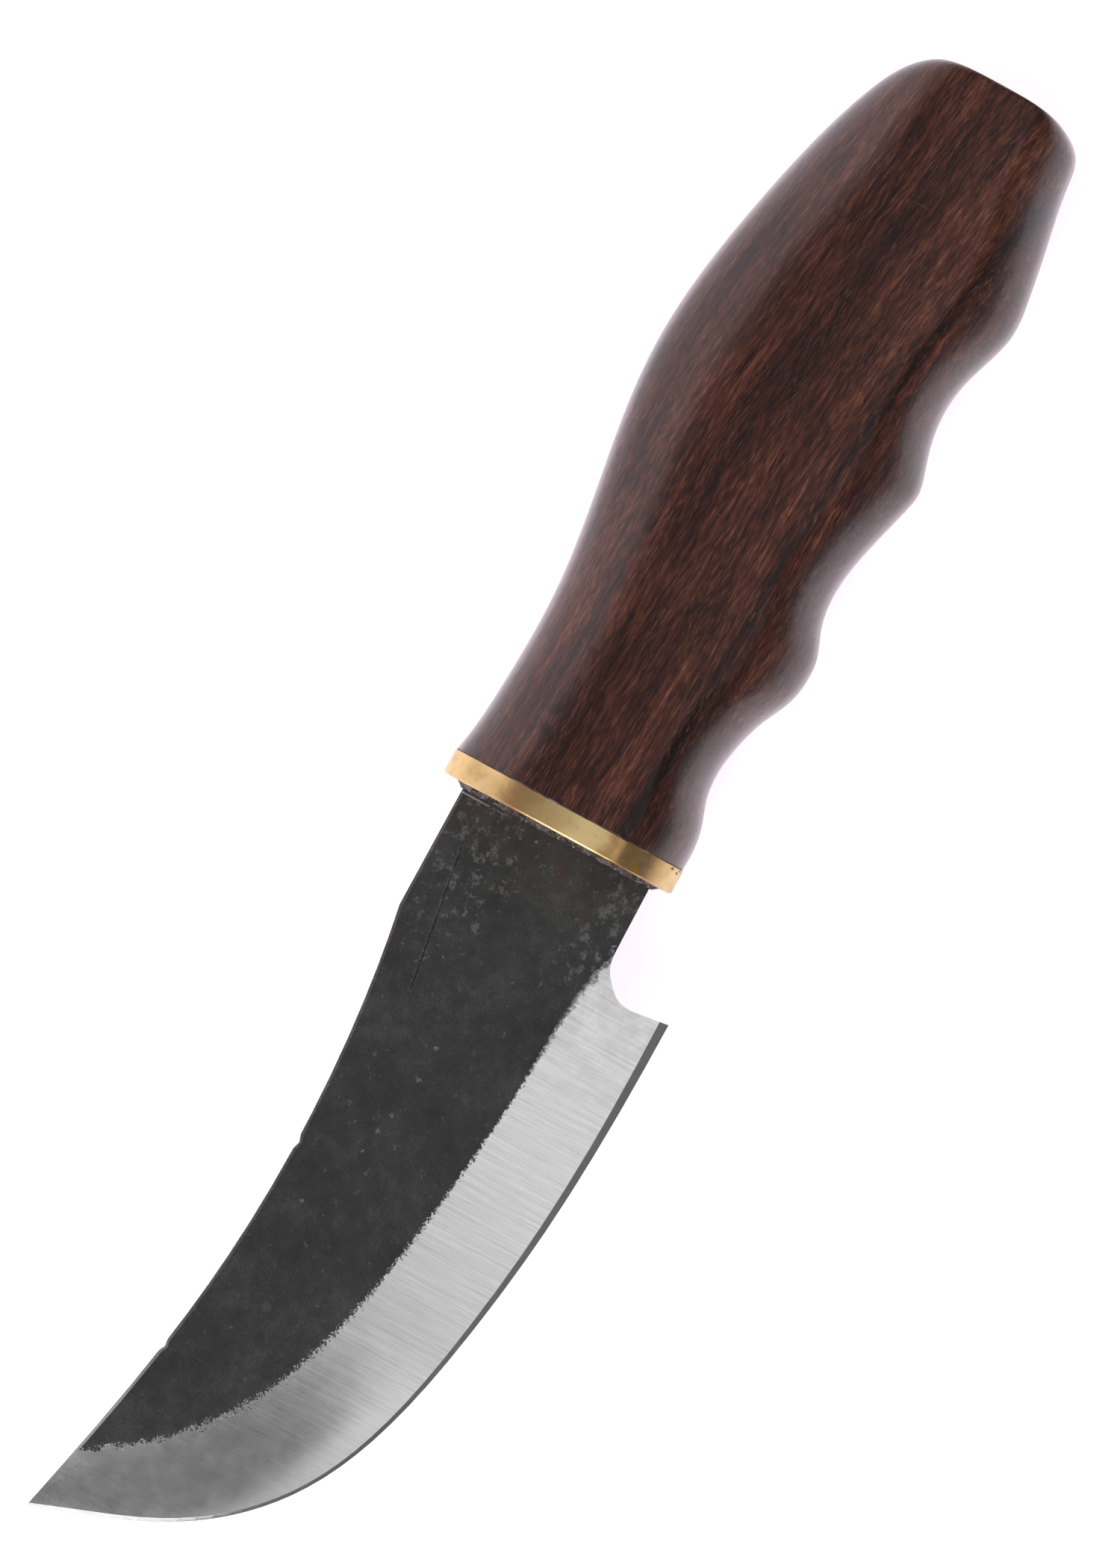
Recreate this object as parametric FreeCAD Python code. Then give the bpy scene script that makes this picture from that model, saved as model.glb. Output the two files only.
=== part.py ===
"""A hand-forged fixed-blade knife: a stick tang, a brass plate and a finger-grooved rosewood handle.

All sizes are in millimetres. Each piece is modelled in the knife's own axes: +X from the bolster's
front face to the point, +Y towards the cutting edge, and +Z up out of the blade's side, with the
blade's middle plane at Z = 0. The assembly is then moved so that it lies on one side of its handle at
Z = 0, with the origin under the middle of its bounding box.
"""

import FreeCAD
import Part
import math
import os

Vec = FreeCAD.Vector

# ---- driving dimensions ----
PLATE_THICK = 3.2          # bolster plate, along the knife
FILM_THICK = 0.15          # film between the plate and the wood
HANDLE_HALF = 11.0         # half of the handle's thickness
HANDLE_FRONT = -PLATE_THICK - FILM_THICK
PLATE_PROUD = 0.15         # how far the plate stands out of the wood round its rim
PLATE_EDGE_FRONT = 0.4     # rounding of the plate's front edge

BACK_INSET, BACK_DROP = 12.5, 10.5      # rounding of the handle's back: across its side, and down
GROOVE_INSET, FINGER_DROP = 7.5, 8.5    # the same at the bottom of a finger groove
CREST_INSET = 8.8                       # and at a crest between two fingers
FINGER_LEAN = 0.25                      # share of that inset by which the steep part leans in
BUTT_EASE = 0.8                         # broken edge round the sawn butt
BUTT_REACH = 8.0                        # length of the handle's end over which the roundings narrow
SIDE_BACK_Y, SIDE_FINGER_Y = 0.4, 9.8   # where the flat sides' edges then run straight on to the butt

BLADE_HALF_ROOT = 1.75     # half of the blade's thickness at the bolster
BLADE_HALF_TIP = 1.15      # the same at the point
BLADE_LENGTH = 102.7
EDGE_HALF = 0.03           # half of the flat left along the sharpened edge
SHARPENED_ANGLE = 18.0     # of the narrow sharpened bevel, to the middle plane, in degrees
SPINE_CHAMFER = 0.35
SPINE_EASED_TO = 96.0      # the spine's corners are broken this far along the blade

TANG_WIDTH_ROOT, TANG_WIDTH_END = 10.0, 5.5
TANG_HALF_ROOT, TANG_HALF_END = 1.6, 1.1
TANG_LENGTH = 76.0         # from the bolster's front face to the tang's end
TANG_END_ROUND = 1.5
TANG_KEYS = 3              # shallow keying notches filed in each edge of the tang
TANG_KEY_PITCH, TANG_KEY_STAGGER = 17.0, 3.0
TANG_KEY_RADIUS, TANG_KEY_DEPTH = 2.0, 0.9

SLOT_CLEARANCE = 0.3       # round the tang in the plate's slot
MORTISE_WIDTH_MOUTH, MORTISE_HALF_MOUTH = 12.5, 2.9
MORTISE_WIDTH_END, MORTISE_HALF_END = 8.0, 2.4
MORTISE_DEPTH = 77.5       # from the handle's front

BEAD_REACH = 0.75          # how far the squeezed-out cement runs up the blade
BEAD_SPREAD = 1.1          # how far it spreads past the blade on the plate
BEAD_LIP = 0.25            # its thickness where it ends on the blade

CLEAR = 30.0               # further than any of the blade's outline from its middle line
OVERCUT = 2.0              # how far a cutter runs past what it cuts
TOUCH = 0.01               # two things nearer than this are taken to meet

# ---- outlines, as points that a smooth curve passes through ----
HANDLE_BACK = [(-6.5, -14.9), (-11.5, -14.45), (-20.0, -14.05), (-27.5, -14.2), (-37.5, -15.4),
               (-47.0, -16.85), (-57.5, -17.72), (-68.0, -17.0), (-79.0, -15.0), (-89.5, -12.35),
               (-97.5, -9.55), (-102.3, -6.8), (-104.8, -3.6)]
# across the sawn butt each point also says how far in its edge turns towards the middle
HANDLE_BUTT = [(-105.4, 0.5, 1.0), (-105.45, 4.5, 0.0), (-105.2, 10.0, -1.2)]
# on the finger side each point also says how much of a crest it is, from 0 in a groove to 1
HANDLE_FINGERS = [(-104.2, 14.4, 0.5), (-102.2, 16.7, 0.5), (-98.5, 17.5, 0.5), (-91.0, 18.75, 0.6),
                  (-84.5, 19.85, 0.8), (-79.6, 20.2, 1.0), (-75.8, 19.25, 0.7), (-71.4, 17.85, 0.3),
                  (-66.6, 17.4, 0.0), (-62.2, 18.1, 0.3), (-59.2, 18.98, 0.7), (-57.0, 19.35, 1.0),
                  (-54.6, 18.9, 0.7), (-49.0, 17.35, 0.2), (-42.0, 16.1, 0.0), (-37.0, 16.75, 0.3),
                  (-33.6, 18.0, 0.8), (-30.8, 18.2, 1.0), (-27.8, 17.7, 0.7), (-24.0, 15.95, 0.3),
                  (-19.6, 14.5, 0.1), (-15.6, 13.93, 0.0), (-12.0, 14.35, 0.1), (-8.8, 15.4, 0.3),
                  (-6.6, 15.75, 0.3)]
FRONT_CREST = 0.8
HANDLE_FRONT_BACK_Y, HANDLE_FRONT_FINGER_Y = -15.45, 15.7

SPINE_STRAIGHT = [(0.0, -12.55), (16.7, -12.62)]
SPINE_CURVE = [(23.0, -11.6), (33.0, -10.5), (46.0, -9.9), (60.0, -10.3), (74.0, -11.85),
               (88.0, -14.45)]
POINT_TOP, POINT_NOSE, POINT_FRONT = (102.3, -17.72), (102.65, -17.65), (102.7, -17.3)
# from the point to the heel, each point also gives the ground and the sharpened bevel's widths
EDGE = [POINT_FRONT + (7.3, 0.55), (100.2, -10.6, 9.0, 0.55), (96.7, -2.4, 11.0, 0.5),
        (91.6, 5.1, 12.7, 0.45), (84.5, 11.3, 13.5, 0.45), (74.0, 16.2, 13.6, 0.52),
        (60.0, 19.6, 13.3, 0.65), (44.0, 21.9, 13.1, 0.8), (28.0, 22.95, 12.4, 0.95),
        (14.1, 23.2, 11.6, 1.15)]
# the same widths where the bevels run on past the edge's ends, by distance
PAST_POINT = [(2.0, 6.6, 0.55)]
PAST_HEEL = [(3.1, 10.7, 1.2), (6.5, 9.0, 1.2)]
NOTCH_TOP = (14.75, 18.3)
NOTCH_CORNER = [(14.15, 15.95), (12.6, 14.4)]
NOTCH_START = (7.0, 13.25)
RICASSO_FOOT = (0.0, 13.2)

ROUND_WEIGHTS = [1.0, math.sqrt(0.5), 1.0]    # a quarter of an ellipse
WALL_WEIGHTS = [1.0, 1.0, 1.0]


# ---- helpers ----
def smooth_curve(points, parameters=None, **tangents):
    """A cubic spline through the points, as a curve."""
    curve = Part.BSplineCurve()
    if parameters is None:
        curve.interpolate(Points=points, **tangents)
    else:
        curve.interpolate(Points=points, Parameters=parameters)
    return curve


def chord_parameters(points):
    """Running length along the points, which gives several curves the same knots."""
    lengths = [0.0]
    for a, b in zip(points, points[1:]):
        lengths.append(lengths[-1] + (b - a).Length)
    return lengths


def flat(points, z=0.0):
    return [Vec(x, y, z) for x, y in points]


def closed_polygon(corners):
    corners = [Vec(*corner) for corner in corners]
    return Part.makePolygon(corners + corners[:1])


def mirrored(shape):
    """The same shape on the other side of the blade's middle plane."""
    return shape.mirror(Vec(0, 0, 0), Vec(0, 0, 1))


# ---- the handle's outer shape ----
def section_poles(x, y, over, drop, lean=0.0):
    """The poles of the handle's section at a point of its outline: the middle of its wall, the wall's
    upper end, the corner, and the rim of its flat side, which lies over from the outline."""
    bulge = (HANDLE_HALF - drop) * lean * over.Length / drop
    way_in = Vec(over).normalize()
    outline = Vec(x, y, 0)
    wall_end = outline + way_in * (bulge / 2)
    return [outline - way_in * (bulge / 2),
            wall_end + Vec(0, 0, HANDLE_HALF - drop),
            wall_end + over * lean + Vec(0, 0, HANDLE_HALF),
            wall_end + over + Vec(0, 0, HANDLE_HALF)]


def side_section(x, y, crest=0.0):
    """The section at a point of the back or of the fingers. Near the butt the rounding narrows, so that
    the flat side's edge runs straight on."""
    if y > 0:
        full_inset = GROOVE_INSET + (CREST_INSET - GROOVE_INSET) * crest
        full_drop, full_lean, way_in, side_y = FINGER_DROP, FINGER_LEAN, -1.0, SIDE_FINGER_Y
    else:
        full_inset, full_drop, full_lean, way_in, side_y = BACK_INSET, BACK_DROP, 0.0, 1.0, SIDE_BACK_Y
    before_butt = max(0.0, x - HANDLE_BUTT[1][0] - BUTT_REACH)
    inset = min(full_inset, abs(y - side_y) + before_butt)
    full = inset / full_inset
    drop = BUTT_EASE + (full_drop - BUTT_EASE) * full
    return section_poles(x, y, Vec(BUTT_EASE * (1 - full), way_in * inset, 0), drop, full_lean * full)


def butt_section(x, y, turn):
    """The section at a point of the sawn butt, whose edge is only broken."""
    return section_poles(x, y, Vec(BUTT_EASE, turn, 0), BUTT_EASE)


def conic(poles, weights):
    curve = Part.BSplineCurve()
    curve.buildFromPolesMultsKnots(poles, [3, 3], [0.0, 1.0], False, 2, weights)
    return curve.toShape()


def flipped(p):
    return Vec(p.x, p.y, -p.z)


def spline_surface(curves, weights):
    """The surface whose rows of poles are these curves' poles, running across with these weights."""
    surface = Part.BSplineSurface()
    along, across = curves[0], len(curves) - 1
    surface.buildFromPolesMultsKnots(
        [list(poles) for poles in zip(*[c.getPoles() for c in curves])],
        along.getMultiplicities(), [across + 1, across + 1],
        along.getKnots(), [0.0, 1.0],
        False, False, along.Degree, across,
        [list(weights) for _ in along.getPoles()],
    )
    return surface.toShape()


def handle_blank():
    """The handle's outer shape: flat sides, a wall round the outline, and roundings between them whose
    surfaces share the outline's own knots, so that they meet exactly."""
    back = [(HANDLE_FRONT, HANDLE_FRONT_BACK_Y)] + HANDLE_BACK
    fingers = HANDLE_FINGERS + [(HANDLE_FRONT, HANDLE_FRONT_FINGER_Y, FRONT_CREST)]
    knots = chord_parameters([Vec(p[0], p[1], 0) for p in back + HANDLE_BUTT + fingers])
    sections = ([side_section(*p) for p in back] + [butt_section(*p) for p in HANDLE_BUTT]
                + [side_section(*p) for p in fingers])
    middle, wall_end, corner, rim = [smooth_curve(list(row), knots) for row in zip(*sections)]
    lower_end = smooth_curve([flipped(s[1]) for s in sections], knots)
    rounding = spline_surface([wall_end, corner, rim], ROUND_WEIGHTS)
    wall = spline_surface([lower_end, middle, wall_end], WALL_WEIGHTS)
    side = Part.Face(Part.Wire([rim.toShape(), Part.makeLine(sections[-1][3], sections[0][3])]))
    upper = [rounding, side]
    lower = [mirrored(face) for face in upper]
    front = Part.Face(section_wire(HANDLE_FRONT))
    shell = Part.makeShell(upper + lower + [wall, front])
    shell.sewShape()
    solid = Part.makeSolid(shell)
    if solid.Volume < 0:
        solid.reverse()
    return solid


def section_wire(x, proud=0.0):
    """The handle's section at its front, in the plane at x, standing proud of the wood by a little."""
    back = side_section(HANDLE_FRONT, HANDLE_FRONT_BACK_Y - proud)
    finger = side_section(HANDLE_FRONT, HANDLE_FRONT_FINGER_Y + proud, FRONT_CREST)
    edges = [Part.makeLine(back[3], finger[3]), Part.makeLine(flipped(back[3]), flipped(finger[3]))]
    for middle, wall_end, corner, rim in (back, finger):
        edges.append(conic([wall_end, corner, rim], ROUND_WEIGHTS))
        edges.append(conic([flipped(wall_end), flipped(corner), flipped(rim)], ROUND_WEIGHTS))
        if (middle - wall_end).cross(Vec(0, 0, 1)).Length > 0:
            edges.append(conic([flipped(wall_end), middle, wall_end], WALL_WEIGHTS))
        else:
            edges.append(Part.makeLine(flipped(wall_end), wall_end))
    wire = Part.Wire(Part.__sortEdges__(edges))
    wire.translate(Vec(x - HANDLE_FRONT, 0, 0))
    return wire


# ---- the tang, and the hollow that takes it ----
def slot_wire(x, width, half):
    """A slot with round ends, across the knife at x."""
    straight = width / 2 - half
    top = Part.makeLine(Vec(x, -straight, half), Vec(x, straight, half))
    right = Part.Arc(Vec(x, straight, half), Vec(x, straight + half, 0), Vec(x, straight, -half)).toShape()
    bottom = Part.makeLine(Vec(x, straight, -half), Vec(x, -straight, -half))
    left = Part.Arc(Vec(x, -straight, -half), Vec(x, -straight - half, 0), Vec(x, -straight, half)).toShape()
    return Part.Wire([top, right, bottom, left])


def mortise():
    """The drilled and burnt-out hollow in the handle, tapering towards its end."""
    mouth = slot_wire(HANDLE_FRONT, MORTISE_WIDTH_MOUTH, MORTISE_HALF_MOUTH)
    end = slot_wire(HANDLE_FRONT - MORTISE_DEPTH, MORTISE_WIDTH_END, MORTISE_HALF_END)
    return Part.makeLoft([mouth, end], True, True)


def plate_slot(x0, x1):
    """The slot for the tang, between two places along the knife."""
    return Part.makeLoft([slot_wire(x, TANG_WIDTH_ROOT + 2 * SLOT_CLEARANCE, TANG_HALF_ROOT + SLOT_CLEARANCE)
                          for x in (x0, x1)], True, True)


def rectangle_wire(x, width, half):
    return closed_polygon([(x, -width / 2, -half), (x, width / 2, -half),
                           (x, width / 2, half), (x, -width / 2, half)])


def tang():
    """The stick tang: tapered both ways, its end eased, with keying notches along both of its edges."""
    body = Part.makeLoft([rectangle_wire(0.0, TANG_WIDTH_ROOT, TANG_HALF_ROOT),
                          rectangle_wire(-TANG_LENGTH, TANG_WIDTH_END, TANG_HALF_END)], True, True)
    end_corners = [e for e in body.Edges
                   if abs(e.BoundBox.XMax + TANG_LENGTH) < TOUCH and e.BoundBox.ZLength > TANG_HALF_END]
    body = body.makeFillet(TANG_END_ROUND, end_corners)
    narrowing = (TANG_WIDTH_ROOT - TANG_WIDTH_END) / TANG_LENGTH
    for n in range(TANG_KEYS):
        for side in (-1, 1):
            x = -TANG_KEY_PITCH * (n + 1) + side * TANG_KEY_STAGGER
            edge_y = (TANG_WIDTH_ROOT + narrowing * x) / 2
            centre = Vec(x, side * (edge_y + TANG_KEY_RADIUS - TANG_KEY_DEPTH), -BLADE_HALF_ROOT)
            body = body.cut(Part.makeCylinder(TANG_KEY_RADIUS, 2 * BLADE_HALF_ROOT, centre))
    return body


# ---- the blade ----
def edge_curve():
    """The cutting edge's line, from the point to the heel."""
    return smooth_curve([Vec(x, y, 0) for x, y, _, _ in EDGE])


def spine_edges():
    straight = Part.makeLine(*flat(SPINE_STRAIGHT))
    curved = smooth_curve(flat(SPINE_STRAIGHT[1:] + SPINE_CURVE + [POINT_TOP]))
    return [straight, curved.toShape()]


def blade_outline():
    """The blade's side outline as a closed wire: spine, point, cutting edge, heel, notch and ricasso."""
    nose = Part.Arc(*flat([POINT_TOP, POINT_NOSE, POINT_FRONT]))
    heel_line = Part.makeLine(*flat([EDGE[-1][:2], NOTCH_TOP]))
    notch = smooth_curve(flat([NOTCH_TOP] + NOTCH_CORNER + [NOTCH_START]),
                         InitialTangent=Vec(0, -1, 0), FinalTangent=Vec(-1, 0, 0))
    ricasso = Part.makeLine(*flat([NOTCH_START, RICASSO_FOOT]))
    shoulder = Part.makeLine(*flat([RICASSO_FOOT, SPINE_STRAIGHT[0]]))
    return Part.Wire(spine_edges() + [nose.toShape(), edge_curve().toShape(), heel_line,
                                      notch.toShape(), ricasso, shoulder])


def flat_half(x):
    """Half of the forged blade's thickness, which thins steadily towards the point."""
    return BLADE_HALF_ROOT + (BLADE_HALF_TIP - BLADE_HALF_ROOT) * x / BLADE_LENGTH


def bevel_stations():
    """Points along the cutting edge and past both of its ends, each with the way along the edge there
    and the two bevels' widths."""
    curve = edge_curve()
    stations = []
    for x, y, ground, sharpened in EDGE:
        foot = Vec(x, y, 0)
        way = Vec(*curve.tangent(curve.parameter(foot))[0])
        stations.append((foot, way, ground, sharpened))
    point, point_way = stations[0][:2]
    heel, heel_way = stations[-1][:2]
    before = [(point - point_way * run, point_way, *widths) for run, *widths in PAST_POINT]
    after = [(heel + heel_way * run, heel_way, *widths) for run, *widths in PAST_HEEL]
    return before + stations + after


def bevel_cutter():
    """What is ground away from one side: all that lies above the ground and the sharpened bevels."""
    sections = []
    for foot, way, ground, sharpened in bevel_stations():
        inward = Vec(-way.y, way.x, 0)
        steepness = math.tan(math.radians(SHARPENED_ANGLE))
        shoulder_z = EDGE_HALF + sharpened * steepness
        flat_z = flat_half((foot + inward * ground).x)
        slope = (flat_z - shoulder_z) / (ground - sharpened)
        top = 2 * BLADE_HALF_ROOT
        profile = [(-OVERCUT, EDGE_HALF - OVERCUT * steepness), (sharpened, shoulder_z),
                   (ground + OVERCUT, flat_z + OVERCUT * slope), (ground + OVERCUT, top), (-OVERCUT, top)]
        sections.append(closed_polygon([foot + inward * q + Vec(0, 0, z) for q, z in profile]))
    return Part.makeLoft(sections, True, False)


def blade_slab():
    """The forged blade before grinding: its outline, thinning towards the point."""
    tip = BLADE_LENGTH + OVERCUT
    wedge = Part.Face(closed_polygon([(0, -CLEAR, -BLADE_HALF_ROOT), (tip, -CLEAR, -flat_half(tip)),
                                      (tip, -CLEAR, flat_half(tip)), (0, -CLEAR, BLADE_HALF_ROOT)]))
    slab = Part.Face(blade_outline()).extrude(Vec(0, 0, 2 * BLADE_HALF_ROOT))
    slab.translate(Vec(0, 0, -BLADE_HALF_ROOT))
    return slab.common(wedge.extrude(Vec(0, 2 * CLEAR, 0)))


def lies_over(edge, wire):
    """Whether the edge runs along the wire when seen from above, clear of the middle plane."""
    middle = edge.valueAt((edge.FirstParameter + edge.LastParameter) / 2)
    below = Part.Vertex(middle.x, middle.y, 0)
    return abs(middle.z) > EDGE_HALF and below.distToShape(wire)[0] < TOUCH


def blade():
    """The forged blade and its tang, one piece of steel."""
    cutter = bevel_cutter()
    body = blade_slab().cut(cutter).cut(mirrored(cutter))
    spine = Part.Wire(spine_edges())
    corners = [e for e in body.Edges if lies_over(e, spine) and e.BoundBox.XMax < SPINE_EASED_TO]
    body = body.makeChamfer(SPINE_CHAMFER, corners)
    return body.fuse(tang()).removeSplitter()


# ---- the other pieces ----
def bolster_plate():
    """The brass plate, sanded flush with the wood, with the tang's slot through it."""
    face = Part.Face(section_wire(-PLATE_THICK, PLATE_PROUD))
    plate = face.extrude(Vec(PLATE_THICK, 0, 0))
    front_edges = [e for e in plate.Edges if e.BoundBox.XMin > -TOUCH]
    plate = plate.makeFillet(PLATE_EDGE_FRONT, front_edges)
    return plate.cut(plate_slot(-PLATE_THICK - OVERCUT, OVERCUT))


def joint_film():
    """The thin film of cement between the plate and the wood, open at the mortise."""
    face = Part.Face(section_wire(HANDLE_FRONT))
    return face.extrude(Vec(FILM_THICK, 0, 0)).cut(mouth_block())


def mouth_block():
    """The mortise's mouth carried forward through the film."""
    wire = slot_wire(HANDLE_FRONT, MORTISE_WIDTH_MOUTH, MORTISE_HALF_MOUTH)
    return Part.Face(wire).extrude(Vec(FILM_THICK, 0, 0))


def handle():
    return handle_blank().cut(mortise())


def tang_cement(steel):
    """The dark cement that beds the tang: it fills the mortise and the plate's slot."""
    fill = mortise().fuse(mouth_block()).fuse(plate_slot(-PLATE_THICK, 0.0))
    return fill.cut(steel).removeSplitter()


def cement_bead(steel):
    """The bead of cement pressed out round the blade's root, on the plate's front face."""
    back_y, foot_y = SPINE_STRAIGHT[0][1], RICASSO_FOOT[1]

    def ring(x, spread):
        y0, y1, half = back_y - spread, foot_y + spread, BLADE_HALF_ROOT + spread
        return closed_polygon([(x, y0, -half), (x, y1, -half), (x, y1, half), (x, y0, half)])

    bead = Part.makeLoft([ring(0.0, BEAD_SPREAD), ring(BEAD_REACH, BEAD_LIP)], True, True)
    return bead.cut(steel)


def main():
    steel = blade()
    pieces = {
        "blade": steel,
        "bolster_plate": bolster_plate(),
        "handle": handle(),
        "joint_film": joint_film(),
        "tang_cement": tang_cement(steel),
        "cement_bead": cement_bead(steel),
    }
    whole = Part.makeCompound(list(pieces.values())).optimalBoundingBox(False)
    to_origin = Vec(-whole.Center.x, -whole.Center.y, -whole.ZMin)
    os.makedirs("parts", exist_ok=True)
    for name, shape in pieces.items():
        shape.translate(to_origin)
        shape.exportStep(f"parts/{name}.step")
        print(name, "valid" if shape.isValid() else "INVALID", len(shape.Solids), "solid,",
              round(shape.Volume, 1), "mm3")
    print("origin moved by", [round(v, 3) for v in to_origin], "size",
          [round(v, 2) for v in (whole.XLength, whole.YLength, whole.ZLength)])


main()
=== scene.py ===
"""Looks for the forged knife: dense, slightly uneven meshes over the CAD pieces, and node materials.

Places are given in the knife's own millimetres: U along the knife from the plate's front face to the
point, V from the plate's middle towards the cutting edge, and W up from the blade's middle plane.
"""

import math

import bmesh
import bpy
from mathutils import Matrix, Vector, noise


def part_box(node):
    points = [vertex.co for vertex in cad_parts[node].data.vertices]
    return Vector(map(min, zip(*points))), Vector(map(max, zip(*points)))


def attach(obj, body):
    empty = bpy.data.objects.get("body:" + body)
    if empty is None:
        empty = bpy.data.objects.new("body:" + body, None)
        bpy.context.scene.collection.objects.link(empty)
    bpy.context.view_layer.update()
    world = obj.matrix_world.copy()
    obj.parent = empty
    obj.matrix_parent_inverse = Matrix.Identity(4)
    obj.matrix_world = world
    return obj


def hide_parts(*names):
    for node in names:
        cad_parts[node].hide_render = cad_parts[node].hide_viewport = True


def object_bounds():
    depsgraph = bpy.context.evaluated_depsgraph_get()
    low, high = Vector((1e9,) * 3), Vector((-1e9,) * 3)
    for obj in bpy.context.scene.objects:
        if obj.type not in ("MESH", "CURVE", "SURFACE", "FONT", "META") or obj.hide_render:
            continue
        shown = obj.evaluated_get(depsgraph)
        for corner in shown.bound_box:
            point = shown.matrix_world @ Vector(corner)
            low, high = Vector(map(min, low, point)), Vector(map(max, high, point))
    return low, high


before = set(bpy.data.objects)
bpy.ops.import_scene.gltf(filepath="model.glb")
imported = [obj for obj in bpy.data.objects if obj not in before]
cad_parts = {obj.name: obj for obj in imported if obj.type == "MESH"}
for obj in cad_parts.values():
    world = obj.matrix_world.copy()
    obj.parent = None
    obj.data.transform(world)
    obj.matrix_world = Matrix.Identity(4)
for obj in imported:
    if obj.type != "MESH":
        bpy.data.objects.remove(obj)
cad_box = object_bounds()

MM = 0.001
SLIVER = 0.003                        # vertices nearer than this are taken as one, in mm
WHITE = (1.0, 1.0, 1.0)

# ---- the knife's own axes, from the frame ----
plate_low, plate_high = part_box("bolster_plate")
blade_low, blade_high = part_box("blade")
handle_low, handle_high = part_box("handle")
ROOT = Vector((plate_high.x, (plate_low.y + plate_high.y) / 2, (plate_low.z + plate_high.z) / 2))
BLADE_LENGTH = (blade_high.x - ROOT.x) / MM
BLADE_HALF = (blade_high.z - blade_low.z) / 2 / MM
HANDLE_END = (handle_low.x - ROOT.x) / MM
HANDLE_HALF = (handle_high.z - handle_low.z) / 2 / MM

# ---- the photographed view ----
KNIFE_TURN = math.radians(118.4)      # how far the camera is turned about the vertical
VIEW_HEIGHT = 190.9                   # what the picture's long side spans at the blade, in mm
VIEW_CENTRE = (-5.45, -2.53)          # the U and V that the camera looks down on
LENS, SENSOR = 400.0, 36.0

# ---- light: where it comes from, as tilts from overhead towards +U and +V, in degrees ----
LIGHT_DISTANCE = 1.2
LIGHTS = {                            # tilts, widths in degrees along U and V, radiance, colour
    "overhead": ((-16.5, 13.5), (40.0, 17.0), 1.15, WHITE),
    "belly": ((10.0, 17.0), (13.0, 14.0), 0.95, WHITE),
    "belly_end": ((21.5, 17.0), (9.0, 18.0), 0.4, WHITE),
    "ceiling": ((-25.0, -14.0), (60.0, 50.0), 0.18, WHITE),
    "point_side": ((43.5, 3.0), (37.0, 46.0), 1.7, WHITE),
    "lamp": ((62.0, 2.0), (16.0, 6.0), 14.0, (1.0, 0.98, 0.94)),
    "spine_side": ((0.0, -65.0), (120.0, 44.0), 0.92, (0.98, 0.94, 1.0)),
}
ROOM_LIGHT, BACKDROP = 0.2, 0.9
FLOOR_HALF, FLOOR_SHADE, FLOOR_GLOW = 2.0, 0.85, 0.74
FLOOR_GLOW_TINT = (1.0, 0.925, 1.0)

# ---- how finely each mesh is cut before it is bent: axis, start, end and pitch, in mm ----
U, V, W = range(3)
BELLY_START = 62.0                    # the bevels begin to roll over towards the edge here
HANDLE_CUTS = [(U, HANDLE_END, 0.0, 1.5), (V, -18.0, 21.0, 1.5)]
PLATE_CUTS = [(U, -3.6, 0.4, 0.5), (V, -16.0, 16.0, 0.5)]
FILM_CUTS = [(V, -16.0, 16.0, 1.0)]
BLADE_CUTS = [(U, -1.0, BELLY_START, 1.0), (U, BELLY_START, BLADE_LENGTH, 0.4), (V, -18.0, 24.0, 0.5)]
BEAD_CUTS = [(U, 0.0, 0.8, 0.2), (V, -14.0, 15.0, 0.25), (W, -3.0, 3.0, 0.3)]

# ---- hand-made unevenness, in mm ----
CROWN, CROWN_STARTS = 0.11, 4.0       # the handle's sides fall away by this share of their height over W
CROWN_LINE, CROWN_REACH = 3.5, 15.0   # at this distance from the crown's line
WOOD_WAVE, WOOD_WAVE_SPAN = 0.06, 13.0
WOOD_WAVE_GROWS = (4.0, 12.0)         # between these distances from the plate the wave grows
WOOD_WAVE_SPARES = (7.0, 10.0)        # and between these from the crown's line, clear of the tang's hollow
FORGE_WAVE, FORGE_WAVE_SPAN, FORGE_WAVE_GROWS = 0.03, 4.5, 3.0
BEAD_LUMP, BEAD_LUMP_SPAN, BEAD_LUMP_GROWS = 0.3, 0.8, 0.4
SPINE_NICKS = [(48.0, -9.9, 0.55, 0.35), (77.6, -12.4, 0.5, 0.3)]   # U, V, half width, depth
NICK_REACH = 1.0                      # how far a nick's pull reaches into the blade
HALF_AT_POINT = 1.15                  # half of the forged blade's thickness at its point
BEVEL_FOOT = 1.25                     # how far below the forged flats the ground bevels end
BELLY_FULL, BELLY_ROLL = 80.0, 1.75   # where the bevels' roll has its full height, and that height
# the upward share of a face's normal that parts walls, honed edge, ground bevels and flats
WALL_LEAN, HONED_LEAN, FLAT_LEAN = 0.94, 0.965, 0.998


# ---- meshes ----
def to_knife(point):
    """A point of the frame, in metres, as the knife's own U, V and W in millimetres."""
    return (point - ROOT) / MM


def to_frame(u, v, w=0.0):
    """A place in the knife's own millimetres as a point of the frame."""
    return ROOT + Vector((u, v, w)) * MM


def smooth_step(x, start, end):
    """Goes smoothly from 0 to 1 as x goes from start to end, which may be the lower of the two."""
    share = min(1.0, max(0.0, (x - start) / (end - start)))
    return share * share * (3 - 2 * share)


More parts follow.
